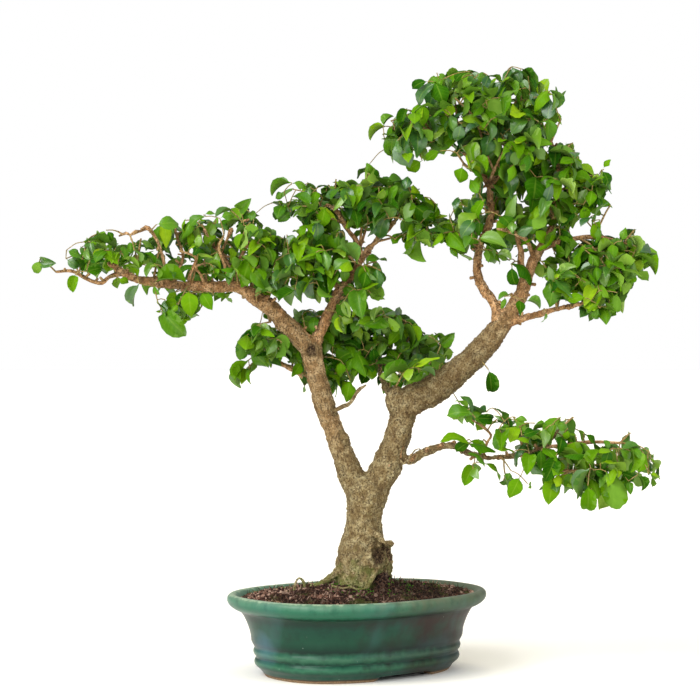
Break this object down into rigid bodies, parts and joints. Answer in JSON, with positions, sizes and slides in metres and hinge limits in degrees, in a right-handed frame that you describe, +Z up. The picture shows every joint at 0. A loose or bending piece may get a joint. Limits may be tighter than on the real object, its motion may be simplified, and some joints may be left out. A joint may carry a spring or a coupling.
{
  "type": "privet bonsai",
  "caption": "Small-leaved privet trained as an informal bonsai with a forked trunk and leafy pads, planted in a footed oval glazed pot filled with soil",
  "frame": {"origin": "on the table under the middle of the tree's own box, the pot standing a little to the right of it", "axes": "+X to the right seen from the front, +Y away from the viewer, +Z up"},
  "size_m": [0.6354, 0.244, 0.6107],
  "materials": {
    "green_glaze": "glossy green glaze, darker in the grooves, bare clay on the foot",
    "potting_soil": "dark damp peat with fibres, grit and moss",
    "mesh_plastic": "black moulded plastic mesh",
    "privet_bark": "grey tan bark with dark pits, green algae at the foot, browner on the twigs",
    "privet_leaves": "glossy green leaves with paler undersides on brown twigs"
  },
  "bodies": {
    "root": {"drain_mesh_1": "mesh_plastic", "drain_mesh_2": "mesh_plastic", "pot": "green_glaze", "soil": "potting_soil", "trunk_and_branches": "privet_bark", "back_pad_shoot_1": "privet_leaves", "back_pad_shoot_2": "privet_leaves", "back_pad_shoot_3": "privet_leaves", "back_pad_shoot_4": "privet_leaves", "back_pad_shoot_5": "privet_leaves", "crown_shoot_1": "privet_leaves", "crown_shoot_10": "privet_leaves", "crown_shoot_11": "privet_leaves", "crown_shoot_12": "privet_leaves", "crown_shoot_13": "privet_leaves", "crown_shoot_14": "privet_leaves", "crown_shoot_2": "privet_leaves", "crown_shoot_3": "privet_leaves", "crown_shoot_4": "privet_leaves", "crown_shoot_5": "privet_leaves", "crown_shoot_6": "privet_leaves", "crown_shoot_7": "privet_leaves", "crown_shoot_8": "privet_leaves", "crown_shoot_9": "privet_leaves", "left_pad_shoot_1": "privet_leaves", "left_pad_shoot_10": "privet_leaves", "left_pad_shoot_2": "privet_leaves", "left_pad_shoot_3": "privet_leaves", "left_pad_shoot_4": "privet_leaves", "left_pad_shoot_5": "privet_leaves", "left_pad_shoot_6": "privet_leaves", "left_pad_shoot_7": "privet_leaves", "left_pad_shoot_8": "privet_leaves", "left_pad_shoot_9": "privet_leaves", "left_tip_shoot_1": "privet_leaves", "left_tip_shoot_2": "privet_leaves", "left_tip_shoot_3": "privet_leaves", "low_right_shoot_1": "privet_leaves", "low_right_shoot_2": "privet_leaves", "low_right_shoot_3": "privet_leaves", "low_right_shoot_4": "privet_leaves", "low_right_shoot_5": "privet_leaves", "low_right_shoot_6": "privet_leaves", "low_right_shoot_7": "privet_leaves", "middle_pad_shoot_1": "privet_leaves", "middle_pad_shoot_2": "privet_leaves", "middle_pad_shoot_3": "privet_leaves", "middle_pad_shoot_4": "privet_leaves", "middle_pad_shoot_5": "privet_leaves", "middle_pad_shoot_6": "privet_leaves", "middle_pad_shoot_7": "privet_leaves", "middle_pad_shoot_8": "privet_leaves", "middle_pad_shoot_9": "privet_leaves", "right_side_shoot_1": "privet_leaves", "right_side_shoot_2": "privet_leaves", "right_side_shoot_3": "privet_leaves", "right_side_shoot_4": "privet_leaves", "right_side_shoot_5": "privet_leaves"}
  },
  "joints": []
}
